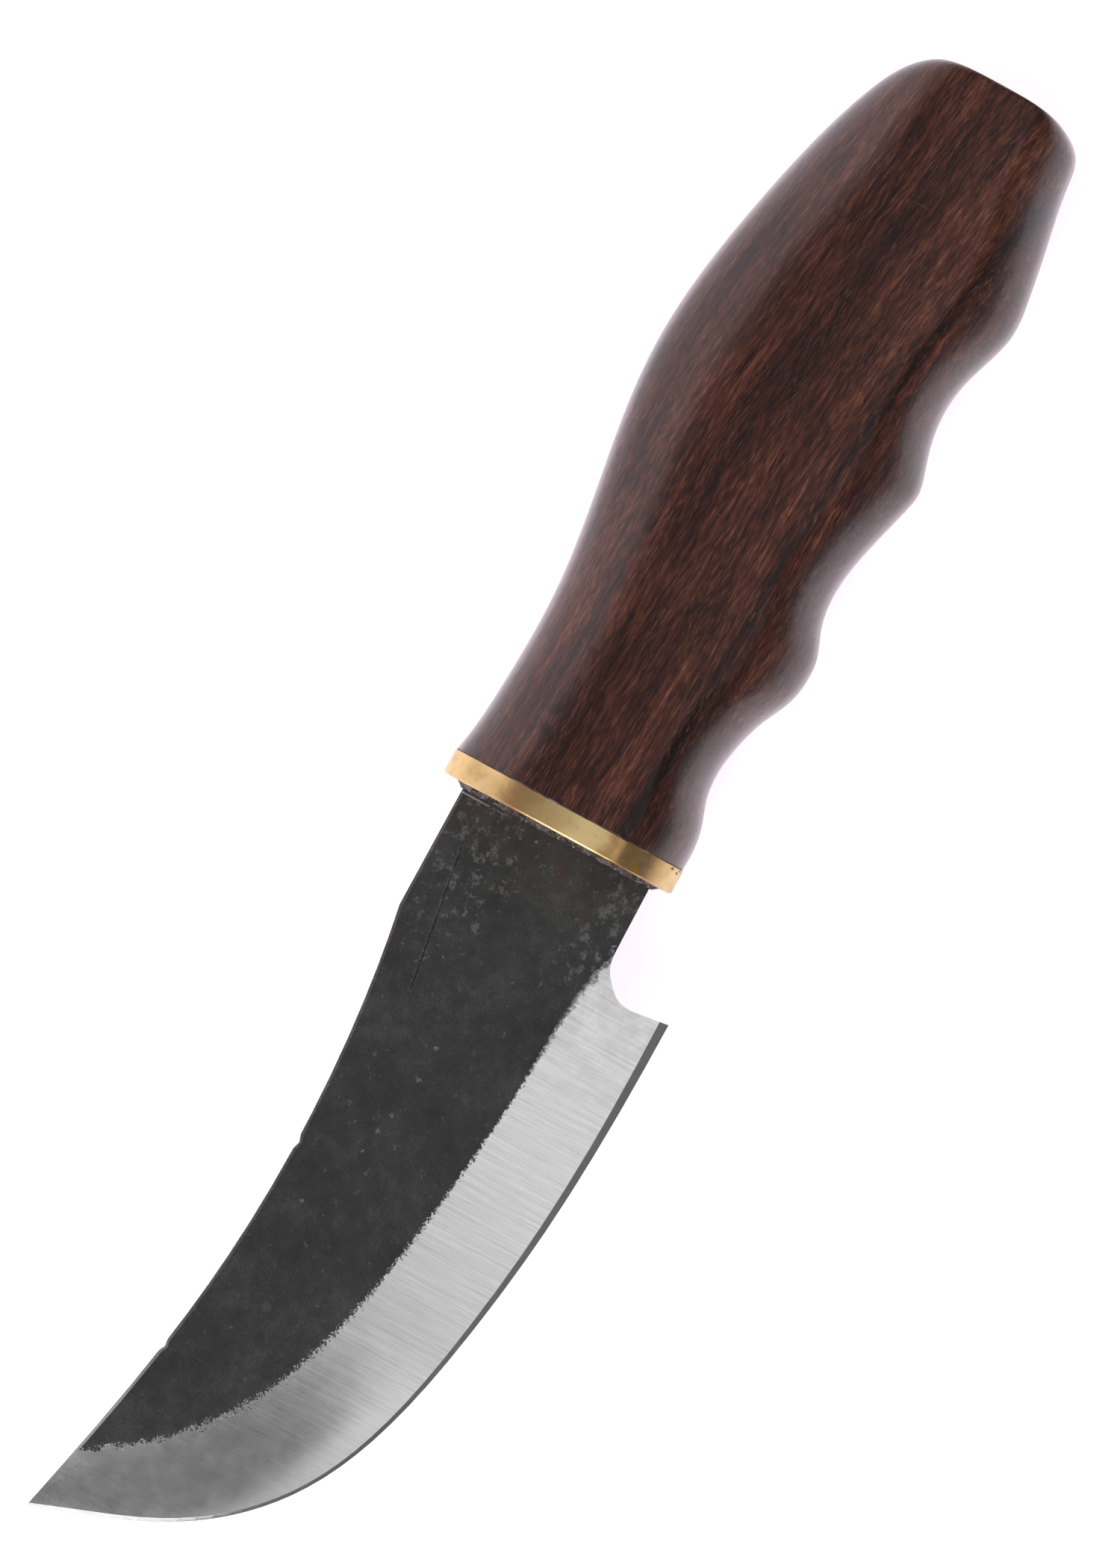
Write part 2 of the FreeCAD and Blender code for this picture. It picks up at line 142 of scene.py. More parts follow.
def dense_copy(node, name, cuts):
    """A copy of a CAD node's mesh, cut along planes so that it can be bent. Each cut is an axis, the
    places it starts and ends at, and its pitch in mm."""
    mesh = bmesh.new()
    mesh.from_mesh(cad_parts[node].data)
    bmesh.ops.remove_doubles(mesh, verts=mesh.verts, dist=SLIVER * MM)
    for axis, start, end, pitch in cuts:
        normal = Vector(float(axis == n) for n in range(3))
        for n in range(1, int((end - start) / pitch)):
            everything = mesh.verts[:] + mesh.edges[:] + mesh.faces[:]
            bmesh.ops.bisect_plane(mesh, geom=everything, dist=SLIVER * MM,
                                   plane_co=to_frame(*(normal * (start + n * pitch))), plane_no=normal)
    bmesh.ops.dissolve_degenerate(mesh, edges=mesh.edges, dist=SLIVER * MM)
    data = bpy.data.meshes.new(name)
    mesh.to_mesh(data)
    mesh.free()
    piece = bpy.data.objects.new(name, data)
    bpy.context.collection.objects.link(piece)
    return piece


def bend(piece, move):
    """Moves each vertex by what move says of its place in the knife's own millimetres."""
    for vertex in piece.data.vertices:
        vertex.co += move(to_knife(vertex.co)) * MM
    piece.data.update()


def finish_piece(piece, node, materials, sharp=30.0):
    """Gives a piece its materials and shading, and puts it in the place of its CAD node."""
    for material in materials:
        piece.data.materials.append(material)
    piece.data.shade_smooth()
    piece.data.set_sharp_from_angle(angle=math.radians(sharp))
    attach(piece, "root")
    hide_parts(node)


def crisp_between(piece, groups):
    """Keeps the edges crisp between faces of different groups, given a group for each face."""
    beside = {}
    for face, group in zip(piece.data.polygons, groups):
        for key in face.edge_keys:
            beside.setdefault(key, set()).add(group)
    for edge in piece.data.edges:
        if len(beside[edge.key]) > 1:
            edge.use_edge_sharp = True


def lump(p, span):
    """Smooth unevenness between -1 and 1 whose bumps are about this far apart."""
    return noise.noise(p / span)


def crowned(p):
    """The handle's flat sides are slightly crowned: how far a point of them moves towards the middle."""
    height = max(0.0, abs(p.z) - CROWN_STARTS)
    fall = height * CROWN * ((p.y - CROWN_LINE) / CROWN_REACH) ** 2
    return Vector((0, 0, -math.copysign(fall, p.z)))


def forged_half(u):
    """Half of the blade's thickness before it was ground. U is a number or a Value."""
    return BLADE_HALF + u * ((HALF_AT_POINT - BLADE_HALF) / BLADE_LENGTH)


# ---- materials ----
class Value:
    """A number that varies over a surface, made by nodes, which can be reckoned with like any number."""

    def __init__(self, tree, socket):
        self.tree = tree
        self.socket = socket

    def math(self, operation, *others):
        node = self.tree.nodes.new("ShaderNodeMath")
        node.operation = operation
        for socket, value in zip(node.inputs, (self, *others)):
            feed(self.tree, socket, value)
        return Value(self.tree, node.outputs[0])

    def __add__(self, other):
        return self.math("ADD", other)

    def __sub__(self, other):
        return self.math("SUBTRACT", other)

    def __mul__(self, other):
        return self.math("MULTIPLY", other)

    def __neg__(self):
        return self * -1.0

    def __rsub__(self, other):
        return -self + other

    def __abs__(self):
        return self.math("ABSOLUTE")

    __radd__ = __add__
    __rmul__ = __mul__

    def rise(self, start, end, low=0.0, high=1.0):
        """Goes smoothly from low to high as this value goes from start to end, even downwards."""
        node = self.tree.nodes.new("ShaderNodeMapRange")
        node.interpolation_type = "SMOOTHSTEP"
        for socket, value in zip(node.inputs, (self, start, end, low, high)):
            feed(self.tree, socket, value)
        return Value(self.tree, node.outputs[0])

    def near(self, place, reach):
        """1 where this value is at the place, falling to 0 at the reach on either side of it."""
        return abs(self - place).rise(reach, 0.0)


def feed(tree, socket, value):
    """Gives a node's input a Value, another node's output, a colour or a plain number."""
    if isinstance(value, Value):
        tree.links.new(value.socket, socket)
    elif isinstance(value, bpy.types.NodeSocket):
        tree.links.new(value, socket)
    elif isinstance(value, tuple) and len(socket.default_value) == len(value) + 1:
        socket.default_value = (*value, 1.0)
    else:
        socket.default_value = value


class Finish:
    """A material made of nodes, whose patterns are laid out in the knife's own millimetres."""

    def __init__(self, name):
        self.material = bpy.data.materials.new(name)
        self.material.use_nodes = True
        self.tree = self.material.node_tree
        self.shader = self.tree.nodes["Principled BSDF"]
        mapping = self.tree.nodes.new("ShaderNodeMapping")
        mapping.inputs["Location"].default_value = -ROOT / MM
        mapping.inputs["Scale"].default_value = (1 / MM, 1 / MM, 1 / MM)
        self.tree.links.new(self.tree.nodes.new("ShaderNodeTexCoord").outputs["Object"], mapping.inputs[0])
        self.place = mapping.outputs[0]
        self.u, self.v, self.w = self.parts(self.place)

    def parts(self, vector):
        """A vector's three parts, as Values."""
        node = self.tree.nodes.new("ShaderNodeSeparateXYZ")
        self.tree.links.new(vector, node.inputs[0])
        return [Value(self.tree, socket) for socket in node.outputs]

    def vector(self, *values):
        node = self.tree.nodes.new("ShaderNodeCombineXYZ")
        for socket, value in zip(node.inputs, values):
            feed(self.tree, socket, value)
        return node.outputs[0]

    def normal(self):
        return self.parts(self.tree.nodes.new("ShaderNodeNewGeometry").outputs["Normal"])

    def noise(self, size, drawn_out=(1, 1, 1), at=None, detail=2.0, grit=0.5, seed=0.0):
        """Noise from 0 to 1 with spots of this size in mm, drawn out by these factors along the axes.
        Grit is how strong its finest spots are."""
        mapping = self.tree.nodes.new("ShaderNodeMapping")
        mapping.inputs["Location"].default_value = (seed, seed, seed)
        mapping.inputs["Scale"].default_value = [1 / (size * factor) for factor in drawn_out]
        self.tree.links.new(at or self.place, mapping.inputs[0])
        node = self.tree.nodes.new("ShaderNodeTexNoise")
        node.inputs["Scale"].default_value = 1.0
        node.inputs["Detail"].default_value = detail
        node.inputs["Roughness"].default_value = grit
        self.tree.links.new(mapping.outputs[0], node.inputs["Vector"])
        return Value(self.tree, node.outputs[0])

    def ramp(self, value, stops):
        """A colour that goes through these stops, each a place from 0 to 1 and a colour."""
        node = self.tree.nodes.new("ShaderNodeValToRGB")
        elements = node.color_ramp.elements
        while len(elements) < len(stops):
            elements.new(1.0)
        for element, (position, colour) in zip(elements, stops):
            element.position = position
            element.color = (*colour, 1.0)
        feed(self.tree, node.inputs[0], value)
        return node.outputs[0]

    def mix(self, share, a, b):
        """The colour a with this share of b in it."""
        node = self.tree.nodes.new("ShaderNodeMix")
        node.data_type = "RGBA"
        for index, value in ((0, share), (6, a), (7, b)):
            feed(self.tree, node.inputs[index], value)
        return node.outputs[2]

    def spot(self, u, v, radius, ragged=0.0):
        """1 within half of a spot's radius, falling to 0 at its rim, on both of the knife's sides."""
        across = (self.u - u) * (self.u - u) + (self.v - v) * (self.v - v)
        distance = across.math("SQRT")
        if ragged:
            distance = distance + (self.noise(radius, seed=u) - 0.5) * ragged
        return distance.rise(radius, radius * 0.5)

    def set(self, relief=None, **sockets):
        """Feeds the shader's sockets, and turns a relief in mm into a bump."""
        for name, value in sockets.items():
            feed(self.tree, self.shader.inputs[name.replace("_", " ")], value)
        if relief is not None:
            bump = self.tree.nodes.new("ShaderNodeBump")
            bump.inputs["Distance"].default_value = MM
            feed(self.tree, bump.inputs["Height"], relief)
            self.tree.links.new(bump.outputs[0], self.shader.inputs["Normal"])
        return self.material


# the wood's growth lines, which rise slightly towards the butt, and more steeply in its butt half
GRAIN_RISE, GRAIN_RISE_MORE, GRAIN_BEND = 0.04, 0.10, -55.0
GRAIN_DEPTH = 0.35                    # how far the lines move across the wood per mm of depth
WOOD_BANDS = [(3.4, 2.8, 0.15), (6.7, 0.9, -0.38), (-10.3, 0.45, -0.16), (-4.3, 2.2, -0.10),
              (-9.0, 1.2, 0.10), (-14.0, 3.0, 0.08)]     # place across the grain, reach, tone
WOOD_DARK, WOOD_DARK_REACH = (-14.0, 9.0), (26.0, 5.5)   # along U and V: a broad darker stretch
WOOD_CRACKS = [(-29.0, -8.1, 0.6), (-28.3, -8.0, 0.35), (-27.4, -8.3, 0.7),
               (-26.5, -8.0, 0.3)]    # U, V, half length across the knife
WOOD_STAINS = [(-21.5, -6.7, 0.9), (-16.5, -3.2, 1.6), (-13.1, -7.3, 1.2), (-10.7, -7.2, 1.0),
               (-7.5, -0.6, 1.8)]     # U, V, radius
WOOD_SCRATCHES = [(-101.2, 1.05, 0.9), (-87.9, 2.6, 1.9), (-100.9, 6.6, 0.7), (-68.0, 6.8, 0.3),
                  (-43.3, -1.2, 0.6)]                    # U, V, half length across the knife
WOOD_CHIP = (-79.1, 19.4, 0.8)
WOOD_TONES = [(0.0, (0.013, 0.007, 0.006)), (0.28, (0.034, 0.012, 0.010)), (0.5, (0.072, 0.022, 0.015)),
              (0.7, (0.120, 0.038, 0.025)), (0.86, (0.185, 0.068, 0.042)), (1.0, (0.26, 0.115, 0.076))]
FLECK, PORE = (0.24, 0.10, 0.062), (0.010, 0.007, 0.008)
STAIN, CRACK, SCRATCH = (0.018, 0.006, 0.005), (0.006, 0.004, 0.004), (0.16, 0.11, 0.10)
CHIP = (0.014, 0.008, 0.006)
CRACK_HALF, SCRATCH_HALF = 0.10, 0.09    # half of their width along the knife
POLISH_STARTS, POLISH_FULL = 0.3, 2.0    # how far below the flat sides the hand's polish begins and is full


def growth_lines(wood):
    """How far across the growth lines a place is, in mm."""
    wander = (wood.noise(20.0, (2, 1, 1)) - 0.5) * 2.4 + (wood.noise(3.0, (4, 1, 1)) - 0.5) * 0.35
    bend_over = (wood.u - GRAIN_BEND).math("SMOOTH_MIN", 0.0, 15.0)
    return (wood.v + wood.u * GRAIN_RISE + bend_over * GRAIN_RISE_MORE
            + (wood.w - HANDLE_HALF) * GRAIN_DEPTH + wander)


def marked_wood(wood, colour, upper, chip):
    """The colour with its stains, cracks, scratches and chip, which only the upper side has."""
    for u, v, radius in WOOD_STAINS:
        colour = wood.mix(wood.spot(u, v, radius, ragged=1.2) * upper * 0.5, colour, STAIN)
    for u, v, half in WOOD_CRACKS:
        mark = wood.u.near(u, CRACK_HALF) * wood.v.near(v, half) * upper
        colour = wood.mix(mark * 0.8, colour, CRACK)
    for u, v, half in WOOD_SCRATCHES:
        mark = wood.u.near(u, SCRATCH_HALF) * wood.v.near(v, half) * upper
        colour = wood.mix(mark * 0.5, colour, SCRATCH)
    return wood.mix(chip * 0.7, colour, CHIP)


def rosewood():
    """Dark banded rosewood with fine fibres, which the hand has polished on its rounded parts."""
    wood = Finish("rosewood")
    across = growth_lines(wood)
    grain = wood.vector(wood.u, across, wood.w)
    broad = wood.noise(3.0, (8, 1, 1.5), grain, detail=2.0)
    streaks = wood.noise(0.6, (12, 1, 1.3), grain, detail=3.0, grit=0.6)
    fibres = wood.noise(0.25, (9, 1, 1.3), grain, detail=3.0, grit=0.65)
    tone = 0.44 + (broad - 0.5) * 0.75 + (streaks - 0.5) * 1.05 + (fibres - 0.5) * 1.45
    for place, reach, strength in WOOD_BANDS:
        tone = tone + across.near(place, reach) * strength
    tone = tone - (wood.u.near(WOOD_DARK[0], WOOD_DARK_REACH[0])
                   * wood.v.near(WOOD_DARK[1], WOOD_DARK_REACH[1]) * 0.16)
    colour = wood.ramp(tone, WOOD_TONES)

    patches = wood.noise(4.0, (2.5, 1, 1), grain, seed=3.0).rise(0.36, 0.60)
    flecks = wood.noise(0.15, (12, 1, 1.4), grain, detail=1.0, seed=7.0).rise(0.56, 0.70) * patches
    pores = wood.noise(0.15, (10, 1, 1.2), grain, detail=1.0, seed=11.0).rise(0.60, 0.72)
    colour = wood.mix(flecks * 0.5, colour, FLECK)
    colour = wood.mix(pores * 0.6, colour, PORE)
    upper = wood.w.rise(0.0, 2.0)
    chip = wood.spot(*WOOD_CHIP, ragged=1.0) * upper
    colour = marked_wood(wood, colour, upper, chip)

    relief = fibres * 0.010 - pores * 0.015 + wood.noise(1.6, detail=1.0) * 0.006 - chip * 0.25
    roughness = 0.38 + (streaks - 0.5) * 0.14 + pores * 0.12
    polish = abs(wood.w).rise(HANDLE_HALF - POLISH_STARTS, HANDLE_HALF - POLISH_FULL, 0.2, 0.95)
    return wood.set(relief=relief, Base_Color=colour, Roughness=roughness, Specular_IOR_Level=0.12,
                    Coat_Weight=polish, Coat_Roughness=0.27,
                    Sheen_Weight=0.42, Sheen_Roughness=0.35, Sheen_Tint=(1.0, 0.74, 0.97))


BRASS_CLOUDS = [(0.3, (0.60, 0.39, 0.165)), (0.5, (0.70, 0.485, 0.215)), (0.7, (0.74, 0.51, 0.26))]
TARNISH, BRUSHED = (0.42, 0.25, 0.10), (0.86, 0.70, 0.44)
PIT, YELLOW = (0.06, 0.03, 0.015), (0.75, 0.40, 0.02)
BRASS_PITS = [(-2.9, 14.4, 0.22), (-2.6, 15.1, 0.2), (-3.0, 15.35, 0.18)]    # U, V, radius
BRASS_SPOT = (-0.75, 10.4, 0.6)       # U, V, radius of a yellow spot
# bands of painted light across the plate, tinted like tarnish: a painted highlight around V 2.8 and painted
# shade at the others: V, reach, strength, colour
BRASS_LIGHT_BANDS = [(-6.4, 3.0, 0.6, (0.50, 0.24, 0.11)), (2.8, 4.8, 0.9, (1.0, 0.74, 0.36)),
               (7.8, 3.4, 0.7, (0.36, 0.20, 0.08)), (11.9, 2.8, 0.7, (0.24, 0.14, 0.065))]


def brass():
    """Brushed brass, clouded with tarnish, with bands of painted highlight and painted shade across it."""
    metal = Finish("brushed_brass")
    brushing = metal.noise(0.07, (1, 60, 60), detail=3.0)
    cloud = metal.noise(3.2, (0.8, 1, 1), detail=3.0)
    tarnish = metal.noise(1.6, (1, 1.6, 1), detail=4.0, seed=5.0)
    colour = metal.ramp(cloud, BRASS_CLOUDS)
    colour = metal.mix(tarnish.rise(0.45, 0.7) * 0.5, colour, TARNISH)
    colour = metal.mix(brushing.rise(0.3, 0.8) * 0.15, colour, BRUSHED)
    # painted highlight and painted shade in bands across the plate
    for place, reach, strength, tone in BRASS_LIGHT_BANDS:
        colour = metal.mix((metal.v + (tarnish - 0.5) * 3.0).near(place, reach) * strength, colour, tone)
    colour = metal.mix(metal.spot(*BRASS_SPOT, ragged=0.5) * 0.8, colour, YELLOW)
    relief = brushing * 0.004 + metal.noise(0.5, detail=3.0) * 0.004
    for u, v, radius in BRASS_PITS:
        pit = metal.spot(u, v, radius, ragged=0.35)
        colour = metal.mix(pit * 0.85, colour, PIT)
        relief = relief - pit * 0.05
    roughness = 0.31 + (tarnish - 0.5) * 0.25 + (brushing - 0.5) * 0.12
    return metal.set(relief=relief, Base_Color=colour, Roughness=roughness, Metallic=1.0)


FOLD_START, FOLD_END = (5.4, -9.6), (25.2, -6.6)
FOLD_LEAN = (FOLD_END[1] - FOLD_START[1]) / (FOLD_END[0] - FOLD_START[0])
GREY_SPOT = (67.5, -3.7, 0.8)         # U, V, radius
STEEL_SPECKS = [(40.7, -6.6), (42.2, -1.9), (39.7, -1.4), (34.4, -0.5), (30.0, -0.5), (45.3, -2.5),
                (54.1, -6.1)]         # U and V of small bare places
SEAM_U, SEAM_END_V = 1.05, -5.5       # a bright seam across the blade's root, next to its spine
NEAR_PLATE, NEAR_POINT = (22.0, 8.0), (70.0, 88.0)       # from which U to which U these begin to tell
SCALE_ENDS = 0.055                    # how far below the forged flats the scale begins to give way, in mm
BEVEL_GREY, HONED_GREY = 0.515, 0.5
SCALE_BLACK, SCALE_MID, SCALE_PALE = (0.008,) * 3, (0.027,) * 3, (0.060,) * 3
FLAKE, SPECK, SEAM, LIP = (0.16,) * 3, (0.24,) * 3, (0.45,) * 3, (0.15,) * 3
RUST, FOLD, SPOT = (0.050, 0.020, 0.013), (0.004,) * 3, (0.11,) * 3
GREYS = [(0.0, (0.0,) * 3), (1.0, (1.0,) * 3)]


def ground_share(steel, crumbs, patches):
    """1 where the blade is ground bright, 0 where it keeps its scale, with a ragged line between."""
    _, facing_v, facing_w = steel.normal()
    depth = forged_half(steel.u) - abs(steel.w)
    loose = 0.05 + steel.u.rise(*NEAR_PLATE) * 0.4 + steel.u.rise(76.0, 92.0) * 0.18
    ragged = steel.noise(0.45, detail=4.0, grit=0.7, seed=5.0)
    heel = steel.v.rise(9.0, 13.0) * steel.u.rise(3.0, 12.0) * 0.07
    ground = (depth + heel + (ragged - 0.5) * 0.25 + (crumbs - 0.5) * steel.u.rise(*NEAR_POINT, 0.16, 0.36)
              + (patches - 0.5) * loose).rise(SCALE_ENDS, steel.u.rise(32.0, 14.0, 0.085, 0.19))

    # the spine's broken corners are bright only towards the point, and its wall not at all
    spine_side = facing_v.rise(-0.25, -0.45)
    wall = abs(facing_w).rise(0.4, 0.2)
    spine_bright = steel.u.rise(*NEAR_POINT) * 0.5 + crumbs.rise(0.55, 0.7) * 0.4
    ground = ground * (1.0 - spine_side) + spine_side * (1.0 - wall) * spine_bright
    notch_wall = wall * facing_v.rise(-0.2, 0.1) * steel.u.rise(5.0, 12.0)
    return ground.math("MAXIMUM", notch_wall)


def black_scale(steel, crumbs):
    """The colour of the scale itself: mottled black."""
    mottle = (steel.noise(9.0, detail=3.0, grit=0.5, seed=15.0) * 0.35
              + steel.noise(2.0, detail=5.0, grit=0.65, seed=4.0) * 0.35
              + steel.noise(0.25, detail=3.0, grit=0.6, seed=6.0) * 0.3)
    scale = steel.ramp(mottle, [(0.34, SCALE_BLACK), (0.5, SCALE_MID), (0.64, SCALE_PALE)])
    return steel.mix(crumbs.rise(0.48, 0.36) * 0.6, scale, SCALE_BLACK)


def lost_flakes(steel, scaled):
    """1 where flakes of scale are lost, which is mostly near the plate, by the spine and by the heel."""
    near_spine = steel.u.rise(30.0, 10.0) * steel.v.rise(0.0, -4.0)
    near_heel = steel.u.rise(*NEAR_PLATE) * steel.v.rise(6.0, 10.0)
    worn = near_spine * 0.07 + near_heel * 0.10 + steel.u.rise(32.0, 5.0) * 0.025
    smudges = (steel.noise(1.2, detail=6.0, grit=0.7, seed=8.0) + worn).rise(0.615, 0.72)
    return smudges * steel.noise(0.2, detail=3.0, grit=0.65, seed=9.0).rise(0.3, 0.6) * scaled


def marked_scale(steel, scale, patches, upper):
    """The scale's colour with its bare specks, the seam and the rust."""
    specks = steel.noise(0.35, detail=2.0, seed=21.0).rise(0.77, 0.81)
    for u, v in STEEL_SPECKS:
        specks = specks.math("MAXIMUM", steel.spot(u, v, 0.3, ragged=1.1) * upper)
    scale = steel.mix(specks * 0.5, scale, SPECK)
    seam = steel.u.near(SEAM_U, 0.16) * steel.v.rise(SEAM_END_V, SEAM_END_V - 1.0) * patches.rise(0.42, 0.5)
    scale = steel.mix(seam * 0.8, scale, SEAM)
    rust = steel.noise(3.5, detail=2.0, seed=12.0).rise(0.58, 0.72) * steel.u.rise(26.0, 8.0)
    return steel.mix(rust * 0.4, scale, RUST)


def hammer_fold(steel, crumbs, patches, upper):
    """1 in the fold that the hammer closed, and 1 on the bare crumbs of its lips."""
    off_fold = steel.v - FOLD_START[1] - (steel.u - FOLD_START[0]) * FOLD_LEAN + (patches - 0.5) * 0.3
    within = (upper * steel.u.rise(FOLD_START[0], FOLD_START[0] + 2)
              * steel.u.rise(FOLD_END[0], FOLD_END[0] - 0.3))
    fold = off_fold.near(0.0, 0.10) * within
    lips = off_fold.near(-0.1, 0.5) * within * crumbs.rise(0.5, 0.62)
    return fold, lips


def bevel_grey(steel, scratches, cloud):
    """The ground steel's brightness, with fine scratches straight across the bevel."""
    stripes = steel.noise(0.35, (1, 50, 50), detail=3.0, grit=0.6, seed=3.0)
    striped = steel.u.rise(88.0, 68.0, 0.3, 1.0)
    # darker towards the plate and lighter towards the point: painted shade and painted highlight on the
    # bevel
    bright = (BEVEL_GREY + ((scratches - 0.5) * 0.26 + (stripes - 0.5) * 0.24) * striped
              + (cloud - 0.5) * (0.10 + steel.u.rise(34.0, 12.0) * 0.3) - steel.u.rise(45.0, 15.0) * 0.04
              + steel.u.rise(84.0, 93.0) * 0.035)
    return steel.ramp(bright, GREYS)


def forged_steel():
    """Black forge scale, and the bright ground bevels, with a ragged line where the scale ends."""
    steel = Finish("forged_steel")
    crumbs = steel.noise(0.2, detail=4.0, grit=0.65)
    patches = steel.noise(1.3, detail=4.0, grit=0.6, seed=2.0)
    scratches = steel.noise(0.08, (1, 90, 90), detail=3.0, grit=0.6)
    cloud = steel.noise(2.5, detail=5.0, grit=0.6, seed=14.0)
    upper = steel.w.rise(-0.3, 0.3)
    ground = ground_share(steel, crumbs, patches)
    scaled = 1.0 - ground
    flakes = lost_flakes(steel, scaled)
    fold, lips = hammer_fold(steel, crumbs, patches, upper)

    scale = steel.mix(flakes * 0.9, black_scale(steel, crumbs), FLAKE)
    scale = marked_scale(steel, scale, patches, upper)
    scale = steel.mix(lips * 0.6, scale, LIP)
    scale = steel.mix(fold * 0.85, scale, FOLD)
    scale = steel.mix(steel.spot(*GREY_SPOT) * upper * 0.3, scale, SPOT)

    colour = steel.mix(ground, scale, bevel_grey(steel, scratches, cloud))
    roughness = 0.18 + (cloud - 0.5) * 0.08 + scaled * (0.32 + (crumbs - 0.5) * 0.2) - flakes * 0.1
    metallic = ground * 0.92 + 0.08 + flakes * 0.5
    relief = (ground * scratches * 0.005 + scaled * (crumbs * 0.03 + patches * 0.03)
              - flakes * 0.015 - fold * 0.12)
    return steel.set(relief=relief, Base_Color=colour, Roughness=roughness, Metallic=metallic)


def honed_steel():
    """The narrow sharpened bevel, stoned finer than the rest."""
    steel = Finish("honed_steel")
    scratches = steel.noise(0.06, (1, 60, 60), detail=3.0)
    cloud = steel.noise(2.0, detail=3.0)
    bright = HONED_GREY + (scratches - 0.5) * 0.2 + (cloud - 0.5) * 0.12
    return steel.set(relief=scratches * 0.004, Base_Color=steel.ramp(bright, GREYS),
                     Roughness=0.2 + cloud * 0.1, Metallic=1.0)


CEMENT_TONES = [(0.35, (0.022, 0.013, 0.012)), (0.5, (0.070, 0.046, 0.043)), (0.68, (0.20, 0.16, 0.17))]
CRUMB = (0.42, 0.37, 0.35)


def cement_crust():
    """Dark resin cement with brown and grey crumbs in it."""
    crust = Finish("cement_crust")
    crumbs = crust.noise(0.3, detail=4.0)
    patches = crust.noise(1.5, detail=3.0, seed=5.0)
    colour = crust.ramp(patches, CEMENT_TONES)
    outside = crust.u.rise(-1.0, 0.0)
    colour = crust.mix(crumbs.rise(0.52, 0.66) * outside * 0.75, colour, CRUMB)
    return crust.set(relief=crumbs * 0.09, Base_Color=colour, Roughness=0.45 + crumbs * 0.25)


def pale_floor():
    """Pale and matt, with a glow of its own that keeps it bright and even."""
    floor = Finish("pale_floor")
    cloud = floor.noise(60.0, detail=2.0)
    shade = floor.ramp(cloud, [(0.3, (FLOOR_SHADE - 0.01,) * 3), (0.7, (FLOOR_SHADE + 0.01,) * 3)])
    return floor.set(Base_Color=shade, Roughness=0.9, Emission_Color=FLOOR_GLOW_TINT,
                     Emission_Strength=FLOOR_GLOW)


# ---- pieces ----
def wooden_handle(material):
    piece = dense_copy("handle", "rosewood_handle", HANDLE_CUTS)

    def uneven(p):
        outward = -WOOD_WAVE * (1 + lump(p, WOOD_WAVE_SPAN)) * smooth_step(-p.x, *WOOD_WAVE_GROWS)
        middle = Vector((p.x, CROWN_LINE, 0.0))
        outside = smooth_step((p - middle).length, *WOOD_WAVE_SPARES)
        return crowned(p) + (p - middle).normalized() * outward * outside

    bend(piece, uneven)
    finish_piece(piece, "handle", [material], sharp=40.0)


def brass_plate(material):
    piece = dense_copy("bolster_plate", "brass_plate", PLATE_CUTS)
    bend(piece, crowned)
    even = piece.modifiers.new("even_normals", "WEIGHTED_NORMAL")
    even.keep_sharp = True
    finish_piece(piece, "bolster_plate", [material], sharp=40.0)


def glue_line(material):
    piece = dense_copy("joint_film", "glue_line", FILM_CUTS)
    bend(piece, crowned)
    finish_piece(piece, "joint_film", [material], sharp=40.0)


def forged_blade(steel, honed):
    piece = dense_copy("blade", "forged_blade", BLADE_CUTS)
    for face in piece.data.polygons:
        upright = abs(face.normal.z)
        face.material_index = int(WALL_LEAN < upright < HONED_LEAN and to_knife(face.center).x > 0)

    def forged(p):
        if p.x < 0:
            return Vector()               # the tang stays as it is
        depth = forged_half(p.x) - abs(p.z)
        wave = FORGE_WAVE * (1 + lump(p, FORGE_WAVE_SPAN)) * smooth_step(p.x, 0.0, FORGE_WAVE_GROWS)
        sunk = max(0.0, wave - depth)     # the bevels are ground into the uneven flats
        down = min(1.0, max(0.0, depth / BEVEL_FOOT))
        steepness = 2 + 2 * smooth_step(p.x, BELLY_FULL, BLADE_LENGTH)
        roll = BELLY_ROLL * smooth_step(p.x, BELLY_START, BELLY_FULL) * down ** steepness * (1 - down)
        shift = Vector((0, 0, math.copysign(roll - sunk, p.z)))
        for u, v, half, deep in SPINE_NICKS:
            reach = smooth_step(abs(p.y - v), NICK_REACH, 0.0)
            shift.y += deep * math.exp(-((p.x - u) / half) ** 2) * reach
        return shift

    bend(piece, forged)
    finish_piece(piece, "blade", [steel, honed], sharp=9.0)
    crisp_between(piece, [(face.material_index, abs(face.normal.z) > FLAT_LEAN)
                          for face in piece.data.polygons])


def bead(material):
    piece = dense_copy("cement_bead", "cement_squeeze_out", BEAD_CUTS)

    def lumpy(p):
        free = smooth_step(p.x, 0.0, BEAD_LUMP_GROWS)
        shrink = -BEAD_LUMP * (1 + lump(p, BEAD_LUMP_SPAN)) * 0.5 * free
        return Vector((shrink, 0, 0))

    bend(piece, lumpy)
    finish_piece(piece, "cement_bead", [material])


# ---- surroundings ----
def floor_plane():
    bpy.ops.mesh.primitive_plane_add(size=2 * FLOOR_HALF, location=(0, 0, cad_box[0].z))
    floor = bpy.context.object
    floor.name = "floor"
    floor.data.materials.append(pale_floor())


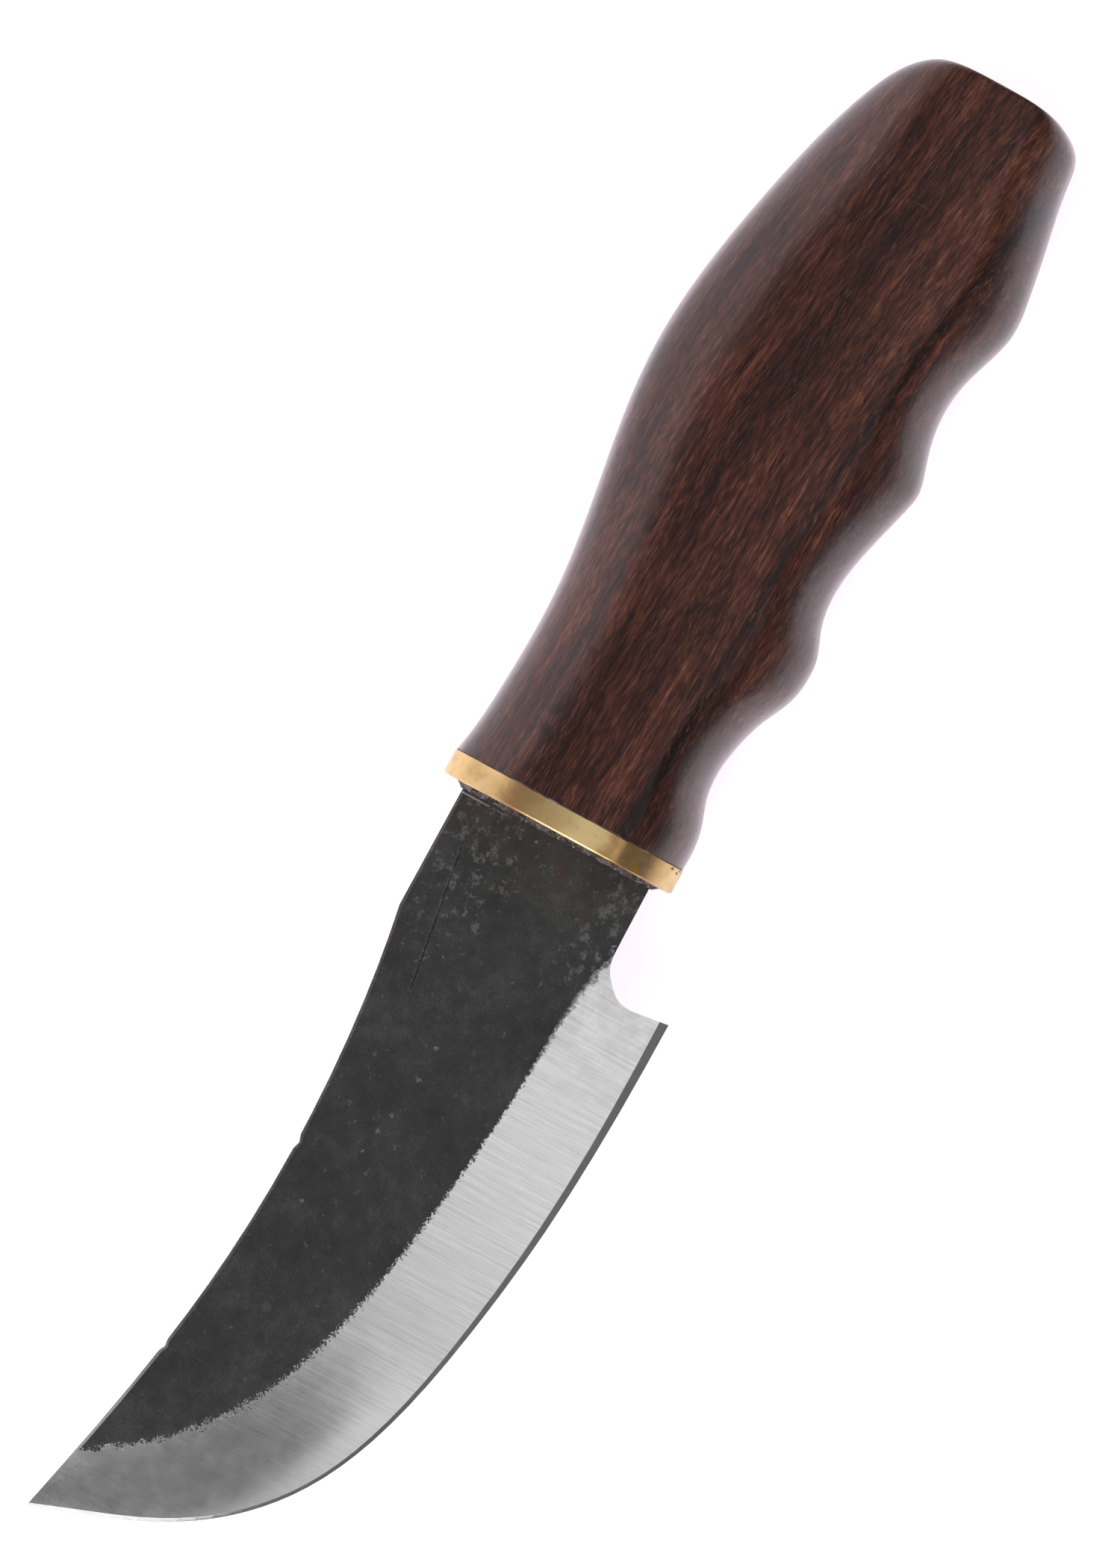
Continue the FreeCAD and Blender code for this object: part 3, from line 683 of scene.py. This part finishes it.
def softbox(name, tilts, widths, radiance, colour):
    """A soft light that hangs in one direction from the knife and takes up these angles there."""
    away = Vector([math.tan(math.radians(tilt)) for tilt in tilts] + [1.0]).normalized()
    side = (Vector((1, 0, 0)) - away * away.x).normalized()
    sizes = [2 * LIGHT_DISTANCE * math.tan(math.radians(width / 2)) for width in widths]
    data = bpy.data.lights.new(name, "AREA")
    data.shape = "RECTANGLE"
    data.size, data.size_y = sizes
    data.energy = radiance * math.pi * sizes[0] * sizes[1]
    data.color = colour
    light = bpy.data.objects.new(name, data)
    light.matrix_world = Matrix.Translation(to_frame(0, 0) + away * LIGHT_DISTANCE) @ Matrix(
        (side, away.cross(side), away)).transposed().to_4x4()
    light.visible_camera = False
    bpy.context.collection.objects.link(light)


def room():
    """Dim light from the room, with a pale backdrop."""
    world = bpy.data.worlds.new("studio")
    world.use_nodes = True
    tree = world.node_tree
    background = tree.nodes["Background"]
    seen = tree.nodes.new("ShaderNodeMapRange")
    seen.inputs["To Min"].default_value = ROOM_LIGHT
    seen.inputs["To Max"].default_value = BACKDROP
    tree.links.new(tree.nodes.new("ShaderNodeLightPath").outputs["Is Camera Ray"], seen.inputs["Value"])
    tree.links.new(seen.outputs[0], background.inputs["Strength"])
    background.inputs["Color"].default_value = (*WHITE, 1.0)
    bpy.context.scene.world = world


def camera():
    """A long lens that looks straight down."""
    data = bpy.data.cameras.new("camera")
    data.lens = LENS
    data.sensor_width = SENSOR
    data.clip_start = 0.01
    eye = bpy.data.objects.new("camera", data)
    eye.location = to_frame(*VIEW_CENTRE, VIEW_HEIGHT * LENS / SENSOR)
    eye.rotation_euler = (0.0, 0.0, KNIFE_TURN)
    bpy.context.collection.objects.link(eye)
    bpy.context.scene.camera = eye


cement = cement_crust()
wooden_handle(rosewood())
brass_plate(brass())
glue_line(cement)
forged_blade(forged_steel(), honed_steel())
bead(cement)
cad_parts["tang_cement"].material_slots[0].material = cement

floor_plane()
for light_name, facts in LIGHTS.items():
    softbox(light_name, *facts)
room()
camera()
bpy.context.scene.view_settings.view_transform = "Standard"
